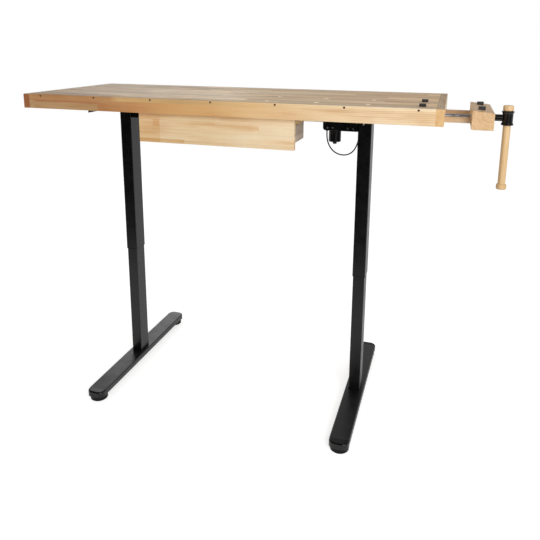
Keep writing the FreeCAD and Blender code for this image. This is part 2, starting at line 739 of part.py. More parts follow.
def crossbars():
    x0, x1 = LEFT_LEG_X + BRACKET_W / 2, RIGHT_LEG_X - BRACKET_W / 2
    z1, half = CROSSBAR_Z + CROSSBAR_H, CROSSBAR_W / 2
    bars = []
    for y in (-CROSSBAR_AT, CROSSBAR_AT):
        outer = rounded(box(x0, x1, y - half, y + half, CROSSBAR_Z, z1), CROSSBAR_T + 1, ALONG_X)
        t = CROSSBAR_T
        bars.append(outer.cut(box(x0 - PAST, x1 + PAST, y - half + t, y + half - t, CROSSBAR_Z + t, z1 - t)))
    return bars


def leg_tube(x, inward):
    """Outer tube with its welded head plate, lugs and bearing plate; inward is the shaft's side."""
    tube = rect_tube(x, 0, TUBE_W, TUBE_D, TUBE_T, TUBE_R, TUBE_BOTTOM, TUBE_TOP)
    head = box(x - TUBE_W / 2, x + TUBE_W / 2, -HEAD_L / 2, HEAD_L / 2, TUBE_TOP, BRACKET_Z)
    head = rounded(head, HEAD_R, UP)
    w, d = TUBE_W / 2 - TUBE_T, TUBE_D / 2 - TUBE_T
    bearing = box(x - w, x + w, -d, d, BEARING_Z, BEARING_Z + BEARING_T)
    bearing = rounded(bearing, TUBE_R - TUBE_T, UP).cut(
        rod(x, 0, BEARING_Z - PAST, SPINDLE_D / 2 + RUNNING, BEARING_T + 2 * PAST))
    lug_out = BRACKET_W / 2 - BRACKET_T - SNUG
    lugs = []
    for x0 in (x - lug_out, x + lug_out - LUG_T):
        lugs.append(box(x0, x0 + LUG_T, -LUG_L / 2, LUG_L / 2, BRACKET_Z, BRACKET_Z + LUG_H))
    leg = fused(tube, head, bearing, *lugs)
    side_hole = rod(x, 0, SHAFT_Z, BEVEL_HUB_D / 2 + SHAFT_HOLE_GAP, TUBE_W, Vec(inward, 0, 0))
    return without(leg, [side_hole] + [bolt(bx, by, SNUG) for bx, by in bolts()])


def glide_bush(x):
    """Plastic sleeve in the outer tube's mouth, with a lip under the tube's edge."""
    bore_w, bore_d = INNER_W + 2 * RUNNING, INNER_D + 2 * RUNNING
    width, depth = TUBE_W - 2 * TUBE_T, TUBE_D - 2 * TUBE_T
    corner = TUBE_R - TUBE_T
    sleeve = rounded(box(x - width / 2, x + width / 2, -depth / 2, depth / 2,
                         TUBE_BOTTOM, TUBE_BOTTOM + BUSH_H), corner, UP)
    lip = rounded(box(x - TUBE_W / 2, x + TUBE_W / 2, -TUBE_D / 2, TUBE_D / 2,
                      TUBE_BOTTOM - BUSH_LIP, TUBE_BOTTOM), TUBE_R, UP)
    bore = rounded(box(x - bore_w / 2, x + bore_w / 2, -bore_d / 2, bore_d / 2,
                       TUBE_BOTTOM - BUSH_LIP - PAST, TUBE_BOTTOM + BUSH_H + PAST), corner, UP)
    return fused(sleeve, lip).cut(bore)


def inner_tube(x):
    return rect_tube(x, 0, INNER_W, INNER_D, INNER_T, TUBE_R - TUBE_T, FOOT_TOP, INNER_TOP)


def spindle_nut(x):
    w, d = INNER_W / 2 - INNER_T - SNUG, INNER_D / 2 - INNER_T - SNUG
    block = rounded(box(x - w, x + w, -d, d, INNER_TOP - NUT_BLOCK_H, INNER_TOP), NUT_BLOCK_R, UP)
    return block.cut(
        rod(x, 0, INNER_TOP - NUT_BLOCK_H - PAST, SPINDLE_D / 2 + RUNNING, NUT_BLOCK_H + 2 * PAST))


BEAM_HALF = FOOT_L / 2 - FOOT_CAP_L
FOOT_Z = FOOT_TOP - FOOT_H
PAD_Y = FOOT_L / 2 - PAD_IN


def foot(x):
    """Folded steel beam, open at its ends, with a threaded bush above each levelling pad."""
    half = FOOT_W / 2
    outer = rounded(box(x - half, x + half, -BEAM_HALF, BEAM_HALF, FOOT_Z, FOOT_TOP), FOOT_R, ALONG_Y)
    inner = box(x - half + FOOT_T, x + half - FOOT_T, -BEAM_HALF - PAST, BEAM_HALF + PAST,
                FOOT_Z + FOOT_T, FOOT_TOP - FOOT_T)
    beam = outer.cut(rounded(inner, FOOT_R - FOOT_T, ALONG_Y))
    for y in (-PAD_Y, PAD_Y):
        beam = fused(beam, rod(x, y, FOOT_Z + FOOT_T / 2, STUD_BUSH_D / 2, STUD_BUSH_H + FOOT_T / 2))
        beam = beam.cut(rod(x, y, FOOT_Z - PAST, STUD_D / 2 + SNUG, FOOT_H - FOOT_T))
    return beam


def foot_caps(x):
    """A plastic cap on each end of the foot, with a plug that fits inside the beam."""
    half = FOOT_W / 2
    caps = []
    for side in (-1, 1):
        tip = FOOT_L / 2
        cap = box(x - half, x + half, BEAM_HALF, tip, FOOT_Z, FOOT_TOP)
        cap = cap.makeFillet(FOOT_CAP_R, edges_at(cap, UP, lambda p: p.y > tip - PAST))
        rim = [e for e in cap.Edges
               if e.CenterOfMass.y > BEAM_HALF + PAST and e.CenterOfMass.z > FOOT_TOP - PAST]
        cap = cap.makeFillet(FOOT_CAP_EDGE, rim)
        w = half - FOOT_T - PLUG_GAP
        plug = box(x - w, x + w, BEAM_HALF - FOOT_PLUG, BEAM_HALF,
                   FOOT_Z + FOOT_T + PLUG_GAP, FOOT_TOP - FOOT_T - PLUG_GAP)
        clear = rod(x, PAD_Y, FOOT_Z - PAST, STUD_BUSH_D / 2 + PLUG_GAP, FOOT_H)
        cap = fused(cap, rounded(plug, FOOT_R - FOOT_T, ALONG_Y)).cut(clear)
        caps.append(cap if side > 0 else cap.mirror(Vec(0, 0, 0), ALONG_Y))
    return caps


def levelling_pad(x, y):
    disc = rod(x, y, 0, PAD_D / 2, PAD_T)
    disc = disc.makeFillet(PAD_RIM, [e for e in disc.Edges if e.CenterOfMass.z > PAD_T - PAST])
    disc = disc.makeChamfer(PAD_SOLE, [e for e in disc.Edges if e.CenterOfMass.z < PAST / 2])
    return fused(disc, rod(x, y, PAD_T - PAST, STUD_D / 2, STUD_L + PAST))


# ---- lifting drive
def bevel_gear(phase=0.0):
    """Mitre gear about +Z below its apex at the origin, with its hub beneath."""
    root = Part.makeCone(BEVEL_OUT - BEVEL_ROOT, BEVEL_IN - BEVEL_ROOT, BEVEL_OUT - BEVEL_IN,
                         Vec(0, 0, -BEVEL_OUT))
    hub = rod(0, 0, -BEVEL_OUT - BEVEL_HUB_L, BEVEL_HUB_D / 2, BEVEL_HUB_L)
    inside = 2 * BEVEL_ROOT
    outline = [Vec(BEVEL_OUT - inside, -BEVEL_TOOTH_W / 2, -BEVEL_OUT),
               Vec(BEVEL_OUT + BEVEL_TIP, -BEVEL_TOOTH_W / 2, -BEVEL_OUT),
               Vec(BEVEL_IN + BEVEL_TIP, -BEVEL_TOOTH_W / 2, -BEVEL_IN),
               Vec(BEVEL_IN - inside, -BEVEL_TOOTH_W / 2, -BEVEL_IN)]
    tooth = Part.Face(Part.makePolygon(outline + outline[:1])).extrude(Vec(0, BEVEL_TOOTH_W, 0))
    teeth = []
    for i in range(BEVEL_TEETH):
        copy = tooth.copy()
        copy.rotate(Vec(0, 0, 0), UP, (i + phase) * 360.0 / BEVEL_TEETH)
        teeth.append(copy)
    return root.multiFuse([hub] + teeth).removeSplitter()


def shaft_bevel(x, side):
    """Mitre gear on the shaft; side is +1 where it lies on the +X side of the apex at x."""
    gear = bevel_gear(0.5)
    gear.rotate(Vec(0, 0, 0), ALONG_Y, -90 * side)
    return moved(gear, x, 0, SHAFT_Z)


def drive_shaft():
    """Hexagonal shaft with the mitre gears for the motor and for both spindles."""
    x0, x1 = LEFT_LEG_X + BEVEL_IN + PAST, RIGHT_LEG_X - BEVEL_IN - PAST
    shaft = along_x(hexagon(SHAFT_AF, x1 - x0), x0, 0, SHAFT_Z)
    gears = [shaft_bevel(LEFT_LEG_X, 1), shaft_bevel(MOTOR_X, 1), shaft_bevel(RIGHT_LEG_X, -1)]
    return shaft.multiFuse(gears).removeSplitter()


def spindle(x):
    screw = threaded_rod(SPINDLE_L, SPINDLE_D, SPINDLE_LEAD, SPINDLE_THREAD)
    journal = rod(x, 0, BEARING_Z, SPINDLE_D / 2, SHAFT_Z - BEVEL_OUT - BEARING_Z)
    collar = rod(x, 0, BEARING_Z + BEARING_T + WOOD_GAP, THRUST_COLLAR_D / 2, THRUST_COLLAR_H)
    return fused(moved(screw, x, 0, BEARING_Z - SPINDLE_L), journal, collar,
                 moved(bevel_gear(), x, 0, SHAFT_Z))


def motor_pinion():
    top = SHAFT_Z - BEVEL_OUT - BEVEL_HUB_L
    z0 = MOTOR_TOP - MOTOR_SHAFT_SEAT + WOOD_GAP
    return fused(moved(bevel_gear(), MOTOR_X, 0, SHAFT_Z),
                 rod(MOTOR_X, 0, z0, MOTOR_SHAFT_D / 2, top - z0 + PAST))


def motor_body():
    can = rod(MOTOR_X, 0, MOTOR_BOTTOM, MOTOR_D / 2, MOTOR_TOP - MOTOR_BOTTOM)
    can = can.makeFillet(MOTOR_EDGE, [e for e in can.Edges if isinstance(e.Curve, Part.Circle)
                                      and e.CenterOfMass.z < MOTOR_BOTTOM + PAST])
    boss = rod(MOTOR_X, 0, MOTOR_BOTTOM - MOTOR_BOSS_H, MOTOR_BOSS_D / 2, MOTOR_BOSS_H + PAST)
    boss = boss.makeFillet(MOTOR_BOSS_EDGE, [e for e in boss.Edges if isinstance(e.Curve, Part.Circle)
                                             and e.CenterOfMass.z < MOTOR_BOTTOM - PAST])
    seat = rod(MOTOR_X, 0, MOTOR_TOP - MOTOR_SHAFT_SEAT, MOTOR_SHAFT_D / 2 + RUNNING, MOTOR_SHAFT_SEAT + PAST)
    return fused(can, boss).cut(seat)


def housing_whole():
    """Gear housing before it is split: body, screw bosses, rib and the flange under the crossbars."""
    x0, x1, z0, z1 = HOUSING_LEFT, HOUSING_RIGHT, HOUSING_BOTTOM, HOUSING_TOP
    half, t = HOUSING_W / 2, HOUSING_T
    body = box(x0, x1, -half, half, z0, z1)
    body = body.makeFillet(HOUSING_R, edges_at(body, ALONG_Y, lambda p: p.x < x0 + PAST and p.z < z0 + PAST))
    body = body.makeFillet(HOUSING_EDGE, edges_at(body, ALONG_X, lambda p: p.z < z0 + PAST))
    inner = box(x0 + t, x1 - t, -half + t, half - t, z0 + t, z1 - HOUSING_FLANGE_T)
    inner = inner.makeFillet(HOUSING_R - t, edges_at(
        inner, ALONG_Y, lambda p: p.x < x0 + t + PAST and p.z < z0 + t + PAST))
    out = half + HOUSING_FLANGE_OUT
    flange = box(x0 - HOUSING_EDGE, x1, -out, out, z1 - HOUSING_FLANGE_T, z1)
    rib_z, rib_y = z1 - HOUSING_RIB_AT, half + HOUSING_RIB_OUT
    rib = box(x0 - HOUSING_RIB_OUT, x1, -rib_y, rib_y, rib_z, rib_z + HOUSING_RIB_H)
    whole = fused(body, rib, rounded(flange, HOUSING_FLANGE_T, UP)).cut(inner)
    for x in housing_screw_xs():
        for y in (-half + PAST, half - HOUSING_BOSS_L):
            boss = rod(x, y, z0 + HOUSING_SCREW_UP, HOUSING_BOSS_D / 2, HOUSING_BOSS_L - PAST, ALONG_Y)
            whole = fused(whole, boss)
    cutters = [rod(MOTOR_X, 0, z0 - PAST, MOTOR_D / 2 + SNUG, MOTOR_SEAT + PAST),
               rod(x0 - HOUSING_T, 0, SHAFT_Z, SHAFT_CORNER + RUNNING, HOUSING_L + 2 * HOUSING_T, ALONG_X),
               gland_plug(GLAND_A, SNUG)]
    return without(whole, cutters + [housing_screw(x, SNUG) for x in housing_screw_xs()])


def housing_screw_xs():
    return [HOUSING_LEFT + x for x in HOUSING_SCREW_X]


def housing_screw(x, grow=0.0):
    face = -HOUSING_W / 2
    z = HOUSING_BOTTOM + HOUSING_SCREW_UP
    shank = rod(x, face, z, HOUSING_SCREW_D / 2 + grow, HOUSING_SCREW_L + grow, ALONG_Y)
    if grow:
        return shank
    return fused(shank, rod(x, face - HOUSING_SCREW_HEAD_H, z, HOUSING_SCREW_HEAD_D / 2,
                            HOUSING_SCREW_HEAD_H, ALONG_Y))


def housing_half(side):
    far = HOUSING_W
    y0, y1 = (-far, 0) if side < 0 else (0, far)
    keep = box(HOUSING_LEFT - far, HOUSING_RIGHT + far, y0, y1, HOUSING_BOTTOM - far, HOUSING_TOP + far)
    return housing_whole().common(keep)


def left_gearbox():
    x0 = LEFT_LEG_X + TUBE_W / 2
    half = LEFT_BOX_W / 2
    body = box(x0, x0 + LEFT_BOX_L, -half, half, SHAFT_Z - LEFT_BOX_DOWN, SHAFT_Z + LEFT_BOX_UP)
    body = body.makeFillet(LEFT_BOX_R, edges_at(body, ALONG_Y, lambda p: p.x > x0 + PAST))
    t = HOUSING_T
    inner = box(x0 - PAST, x0 + LEFT_BOX_L - t, -half + t, half - t,
                SHAFT_Z - LEFT_BOX_DOWN + t, SHAFT_Z + LEFT_BOX_UP - t)
    return without(body, [inner, rod(x0, 0, SHAFT_Z, SHAFT_CORNER + RUNNING, LEFT_BOX_L + PAST, ALONG_X)])


# ---- electrics
def control_box():
    x1, y0, z0 = CONTROL_RIGHT, CONTROL_BEHIND, CONTROL_Z
    x0, y1 = x1 - CONTROL_L, y0 + CONTROL_W
    body = box(x0, x1, y0, y1, z0, PANEL_Z)
    low = [e for e in body.Edges if e.CenterOfMass.z < PANEL_Z - PAST]
    body = body.makeFillet(CONTROL_R, low)
    mid_x, mid_z = x0 + INLET_IN, z0 + CONTROL_H / 2
    inlet = box(mid_x - INLET_W / 2, mid_x + INLET_W / 2, y1 - INLET_DEEP, y1 + PAST,
                mid_z - INLET_H / 2, mid_z + INLET_H / 2)
    pins = []
    for dx, dz in ((-PIN_PITCH, -PIN_STEP), (0, PIN_STEP), (PIN_PITCH, -PIN_STEP)):
        pins.append(box(mid_x + dx - PIN_W / 2, mid_x + dx + PIN_W / 2, y1 - INLET_DEEP - PAST,
                        y1 - INLET_DEEP + PIN_L, mid_z + dz - PIN_H / 2, mid_z + dz + PIN_H / 2))
    return fused(body.cut(inlet), *pins).cut(gland_plug(GLAND_B, SNUG))


HANDSET_X1 = RIGHT_LEG_X - BRACKET_W / 2 - HANDSET_LEG_GAP
HANDSET_X0 = HANDSET_X1 - HANDSET_L
HANDSET_Y0 = FRONT + APRON_T
HANDSET_Z = PANEL_Z - HANDSET_H


def button_points():
    middle, y = (HANDSET_X0 + HANDSET_X1) / 2, HANDSET_Y0 + HANDSET_W / 2
    return [(middle + side * BUTTON_PITCH / 2, y) for side in (-1, 1)]


def handset():
    body = box(HANDSET_X0, HANDSET_X1, HANDSET_Y0, HANDSET_Y0 + HANDSET_W, HANDSET_Z, PANEL_Z)
    body = rounded(body, HANDSET_R, UP)
    body = body.makeFillet(HANDSET_EDGE, [e for e in body.Edges if e.CenterOfMass.z < HANDSET_Z + PAST])
    return without(body, [rod(x, y, HANDSET_Z - PAST, BUTTON_D / 2 + BUTTON_GAP, BUTTON_DEEP + PAST)
                          for x, y in button_points()])


def button(x, y):
    """Round button that faces down; its inner end clears the well's floor by more than its travel."""
    z0 = HANDSET_Z - BUTTON_PROUD
    length = BUTTON_PROUD + BUTTON_DEEP - BUTTON_TRAVEL - BUTTON_GAP
    body = rod(x, y, z0, BUTTON_D / 2, length)
    return body.makeFillet(BUTTON_EDGE, [e for e in body.Edges if isinstance(e.Curve, Part.Circle)
                                  and e.CenterOfMass.z < HANDSET_Z])


def gland_plug(mouth, grow=0.0):
    """The gland's seated part, up into the case from its mouth; grow gives the hole."""
    return rod(mouth.x, mouth.y, mouth.z - grow, GLAND_D / 2 + grow, GLAND_PLUG + 2 * grow)


def gland(mouth):
    taper = Part.makeCone(GLAND_TIP_D / 2, GLAND_D / 2, GLAND_L, mouth - Vec(0, 0, GLAND_L))
    return fused(taper, gland_plug(mouth))


def cable_path(points):
    """Straight runs joined by tangent arcs; gives the wire and each arc's radius."""
    edges, radii = [], []
    start = points[0]
    for before, here, after in zip(points, points[1:], points[2:]):
        a, b = (before - here), (after - here)
        shorter = min(a.Length, b.Length)
        a.normalize()
        b.normalize()
        turn = math.pi - a.getAngle(b)
        cut = 0.45 * shorter
        radii.append(cut / math.tan(turn / 2))
        p, q = here + a * cut, here + b * cut
        bisector = (a + b).normalize()
        depth = radii[-1] / math.cos(turn / 2) - radii[-1]
        edges.append(Part.LineSegment(start, p).toShape())
        edges.append(Part.Arc(p, here + bisector * depth, q).toShape())
        start = q
    edges.append(Part.LineSegment(start, points[-1]).toShape())
    return Part.Wire(edges), radii


def motor_cable():
    wire, radii = cable_path(CABLE_ROUTE)
    ring = Part.Wire(Part.makeCircle(CABLE_D / 2, CABLE_ROUTE[0], CABLE_ROUTE[1] - CABLE_ROUTE[0]))
    tube = wire.makePipeShell([ring], True, False)
    section = math.pi * CABLE_D ** 2 / 4
    fill = tube.Volume / (section * wire.Length)
    print("cable length %.1f, volume / (section x length) %.4f" % (wire.Length, fill))
    print("cable radii", [round(r, 1) for r in radii])
    print("cable runs", [round((b - a).Length, 1) for a, b in zip(CABLE_ROUTE, CABLE_ROUTE[1:])])
    return tube


# ---- all pieces by name
def pieces():
    made = {
        "top_panel": top_panel(),
        "front_apron": front_apron(),
        "back_apron": back_apron(),
        "left_end_cap": end_cap(LEFT, LEFT),
        "right_end_cap": right_end_cap(),
        "cross_batten": cross_batten(),
        "apron_screws": [edge_screw(x, z) for x, z in edge_screw_points()],
        "guide_blocks": guide_blocks(),
        "vise_nut": vise_nut(),
        "vise_jaw": vise_jaw(),
        "thrust_plate": thrust_plate(),
        "guide_bars": guide_bars(),
        "vise_screw": vise_screw(),
        "screw_hub": screw_hub(),
        "handle_bar": handle_bar(),
        "handle_knobs": handle_knobs(),
        "drawer_front": drawer_front(),
        "drawer_sides": drawer_sides(),
        "drawer_back": drawer_back(),
        "drawer_bottom": drawer_floor(),
        "drawer_hangers": drawer_hangers(),
        "drawer_rails": drawer_rails(),
        "side_brackets": [bracket(x) for x in LEG_XS],
        "crossbars": crossbars(),
        "panel_screws": [panel_screw(x, y) for x, y in panel_screw_points()],
        "bracket_bolts": [bolt(x, y) for x, y in bolts()],
        "glide_bushes": [glide_bush(x) for x in LEG_XS],
        "drive_shaft": drive_shaft(),
        "motor_body": motor_body(),
        "motor_pinion": motor_pinion(),
        "gear_housing_front": housing_half(-1),
        "gear_housing_rear": housing_half(1),
        "housing_screws": [housing_screw(x) for x in housing_screw_xs()],
        "left_gearbox": left_gearbox(),
        "control_box": control_box(),
        "handset": handset(),
        "cable_glands": [gland(GLAND_A), gland(GLAND_B)],
        "motor_cable": motor_cable(),
    }
    for number, (x, wood_z) in enumerate(((DOG_X, TOP_Z), (JAW_DOG_X, jaw_top(JAW_DOG_X - DOG_HEAD / 2)))):
        for row, y in enumerate(DOG_ROWS):
            name = ("bench", "jaw")[number] + "_dog_" + ("front", "rear")[row]
            made[name] = bench_dog(x, y, wood_z)
    for name, x, inward in (("left", LEFT_LEG_X, 1), ("right", RIGHT_LEG_X, -1)):
        made["leg_tube_" + name] = leg_tube(x, inward)
        made["inner_tube_" + name] = inner_tube(x)
        made["spindle_" + name] = spindle(x)
        made["spindle_nut_" + name] = spindle_nut(x)
        made["foot_" + name] = foot(x)
        made["foot_caps_" + name] = foot_caps(x)
        made["pad_front_" + name] = levelling_pad(x, -PAD_Y)
        made["pad_rear_" + name] = levelling_pad(x, PAD_Y)
    for name, (x, y) in zip(("button_down", "button_up"), button_points()):
        made[name] = button(x, y)
    return made


os.makedirs("parts", exist_ok=True)
for node, shape in pieces().items():
    if isinstance(shape, list):
        shape = Part.makeCompound(shape)
    shape.exportStep("parts/%s.step" % node)
    print(node, len(shape.Solids), round(shape.Volume), shape.isValid())
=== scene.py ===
import math

import bpy
from mathutils import Matrix, Vector


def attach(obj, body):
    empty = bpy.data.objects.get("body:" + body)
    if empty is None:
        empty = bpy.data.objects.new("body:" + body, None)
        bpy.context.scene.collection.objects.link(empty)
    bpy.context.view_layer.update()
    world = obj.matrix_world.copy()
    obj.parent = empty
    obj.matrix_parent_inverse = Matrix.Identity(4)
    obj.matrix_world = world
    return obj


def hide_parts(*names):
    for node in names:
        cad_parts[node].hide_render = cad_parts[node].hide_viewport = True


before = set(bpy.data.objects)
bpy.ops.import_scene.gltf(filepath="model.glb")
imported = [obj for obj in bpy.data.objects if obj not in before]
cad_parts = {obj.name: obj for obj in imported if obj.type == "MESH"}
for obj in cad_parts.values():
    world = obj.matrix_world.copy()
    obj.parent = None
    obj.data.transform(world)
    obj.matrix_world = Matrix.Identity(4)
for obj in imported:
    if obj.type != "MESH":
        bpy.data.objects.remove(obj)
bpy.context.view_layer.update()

# ---------------------------------------------------------------- camera
# Solved from the bench's straight edges. Focal length in pixels of a picture 540 pixels wide,
# place in metres, angles in radians.
PICTURE = 540
SENSOR = 36.0
FOCAL = 576.91
CAMERA_AT = (0.694375, -2.146320, 1.430049)
YAW = -0.304996
PITCH = -0.223427
ROLL = 0.005563
CAMERA_SHIFT = -0.18


def place_camera():
    """The photograph's viewpoint."""
    data = bpy.data.cameras.new("camera")
    data.sensor_width = SENSOR
    data.lens = SENSOR * FOCAL / PICTURE
    data.shift_y = CAMERA_SHIFT
    data.clip_end = 60
    camera = bpy.data.objects.new("camera", data)
    bpy.context.scene.collection.objects.link(camera)
    level = Vector((math.sin(YAW), math.cos(YAW), 0))
    side = Vector((math.cos(YAW), -math.sin(YAW), 0))
    forward = math.cos(PITCH) * level + math.sin(PITCH) * Vector((0, 0, 1))
    rise = math.cos(PITCH) * Vector((0, 0, 1)) - math.sin(PITCH) * level
    right = math.cos(ROLL) * side + math.sin(ROLL) * rise
    up = math.cos(ROLL) * rise - math.sin(ROLL) * side
    turn = Matrix((right, up, -forward)).transposed().to_4x4()
    camera.matrix_world = Matrix.Translation(CAMERA_AT) @ turn
    bpy.context.scene.camera = camera


# ---------------------------------------------------------------- the motor's cable
CABLE_D = 0.005
CABLE_ROUTE = [
    (0.2465, -0.00395, 1.0980),
    (0.2465, -0.00395, 1.0740),
    (0.2520, 0.00305, 1.0485),
    (0.2620, 0.01005, 1.0290),
    (0.2770, 0.01755, 1.0135),
    (0.2960, 0.02555, 1.0050),
    (0.3160, 0.03505, 1.0035),
    (0.3340, 0.04555, 1.0105),
    (0.3470, 0.05505, 1.0260),
    (0.3550, 0.06405, 1.0490),
    (0.3580, 0.07205, 1.0760),
    (0.3650, 0.07850, 1.1000),
    (0.3550, 0.08200, 1.1310),
    (0.3550, 0.08200, 1.1580),
]


def hang_cable():
    """The lead from the gear housing, down in a loop and up behind the leg to the control box."""
    data = bpy.data.curves.new("motor_lead", "CURVE")
    data.dimensions = "3D"
    data.bevel_depth = 1.0
    data.bevel_resolution = 4
    data.use_fill_caps = True
    spline = data.splines.new("NURBS")
    spline.points.add(len(CABLE_ROUTE) - 1)
    for point, place in zip(spline.points, CABLE_ROUTE):
        point.co = (*place, 1)
        point.radius = CABLE_D / 2
    spline.order_u = 3
    spline.use_endpoint_u = True
    spline.resolution_u = 16
    lead = bpy.data.objects.new("motor_lead", data)
    bpy.context.scene.collection.objects.link(lead)
    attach(lead, "top")
    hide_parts("motor_cable")
    return lead


# ---------------------------------------------------------------- finishes
def paint(red, green, blue):
    """A colour as it is seen on a screen, from 0 to 255, as the shader's linear values."""
    linear = [c / 255 / 12.92 if c < 11 else ((c / 255 + 0.055) / 1.055) ** 2.4
              for c in (red, green, blue)]
    return (*linear, 1)


def feed(tree, socket, value):
    """Give a socket its value, or link another node's output to it."""
    if isinstance(value, bpy.types.NodeSocket):
        tree.links.new(value, socket)
    else:
        socket.default_value = value


def add_node(tree, kind, inputs=(), **settings):
    """Add a shader node. Its inputs go by place or by name."""
    node = tree.nodes.new("ShaderNode" + kind)
    for key, value in settings.items():
        setattr(node, key, value)
    for key, value in inputs.items() if isinstance(inputs, dict) else enumerate(inputs):
        feed(tree, node.inputs[key], value)
    return node


class Finish:
    """A principled material that is put together from small node steps."""

    def __init__(self, name, **constants):
        self.material = bpy.data.materials.new(name)
        self.material.use_nodes = True
        self.tree = self.material.node_tree
        self.shader = self.tree.nodes["Principled BSDF"]
        for socket, value in constants.items():
            self.shader.inputs[socket.replace("_", " ")].default_value = value
        self.spot = self.step("TexCoord").outputs
        self.place = self.spot["Object"]

    def step(self, kind, inputs=(), **settings):
        return add_node(self.tree, kind, inputs, **settings)

    def sum(self, operation, *values):
        """One step of arithmetic on the values."""
        return self.step("Math", values, operation=operation).outputs[0]

    def stretched(self, vector, scale):
        return self.step("VectorMath", (vector, scale), operation="MULTIPLY").outputs[0]

    def noise(self, vector, scale=1.0, detail=2.0, rough=0.5):
        return self.step("TexNoise", {"Vector": vector, "Scale": scale, "Detail": detail,
                                      "Roughness": rough}).outputs["Fac"]

    def fade(self, value, low, high, at_low=0.0, at_high=1.0):
        """value from low to high, turned into at_low to at_high and held there beyond."""
        return self.step("MapRange", (value, low, high, at_low, at_high)).outputs[0]

    def ramp(self, value, stops):
        node = self.step("ValToRGB", (value,))
        marks = node.color_ramp.elements
        while len(marks) < len(stops):
            marks.new(0.5)
        for mark, (at, colour) in zip(marks, stops):
            mark.position = at
            mark.color = colour
        return node.outputs["Color"]

    def mix(self, share, first, second, kind="MIX"):
        return self.step("MixRGB", (share, first, second), blend_type=kind).outputs[0]

    def colour(self, value):
        feed(self.tree, self.shader.inputs["Base Color"], value)

    def rough(self, value):
        feed(self.tree, self.shader.inputs["Roughness"], value)

    def relief(self, height, depth):
        """Bump of that depth in metres, from a height of 0 to 1."""
        node = self.step("Bump", {"Height": height, "Distance": depth, "Strength": 1.0})
        self.tree.links.new(node.outputs["Normal"], self.shader.inputs["Normal"])


WHITE = (1, 1, 1, 1)
MOST = (0.3, 0.7)                     # most of a noise's values lie between these

# Timber. Noises are stretched along the grain, across the staves and through them, in turns a metre.
DRIFT_SCALE = (1.6, 11.0, 11.0)       # the slow wander of the growth rings
DRIFT_TURNS = 5.0                     # rings that the wander can add
PATCH_SCALE = (5.0, 16.0, 16.0)       # broad paler and darker patches
PATCH_RANGE = (0.35, 0.7)
PATCH_SHARE = 0.3
FLECK_SCALE = (110.0, 950.0, 950.0)   # pores, where this noise is high
PORE_RANGE = (0.62, 0.72)
PORE_TONE = 0.35                      # share of the dark colour in a pore
STREAK_ALONG = 2.4                    # fine streaks, along the grain only
STREAK_RANGE = (0.28, 0.72)
STREAK_SHARE = 0.62                   # their share of the shade, on wood without rings
STREAK_YIELD = 0.4                    # and what rings of full strength take from it
BUTT_SHUFFLE = 7.3                    # stave lengths by which the rows are shifted at most
CUT_ALONG = 3.0                       # metres of timber that the staves are cut from
CUT_ACROSS = 2.5                      # the same across and through the grain, in stave widths
CUT_THROUGH = 2.0
LATE_WOOD = (0.15, 0.85)              # where the dark part of a ring grows
LATE_STOP = (1.0, 0.88)               # and where it ends sharply
TONE_STOPS = (0.12, 0.5, 0.95)        # shades that get the pale, middle and dark colours
DARKER_SHARE = 0.62                   # share of the staves' variety that is below the plain tone
END_FACING = (0.6, 0.8)               # how much a face looks along the grain, to be end grain
UP_FACING = (0.7, 0.95)               # how much it looks up, to take the painted shade of faces that look up
WALL_FACING = (0.5, 0.3)              # and to be an upright one
GLUE_COLOUR = (0.09, 0.045, 0.02, 1)
GLOSS_SPREAD = 0.16                   # roughness that the streaks add
GRAIN_DEPTH = 0.00025                 # metres of relief, which these are shares of
STREAK_RISE = 0.5
RING_RISE = -0.15
PORE_RISE = -0.5                      # pores and glue lines


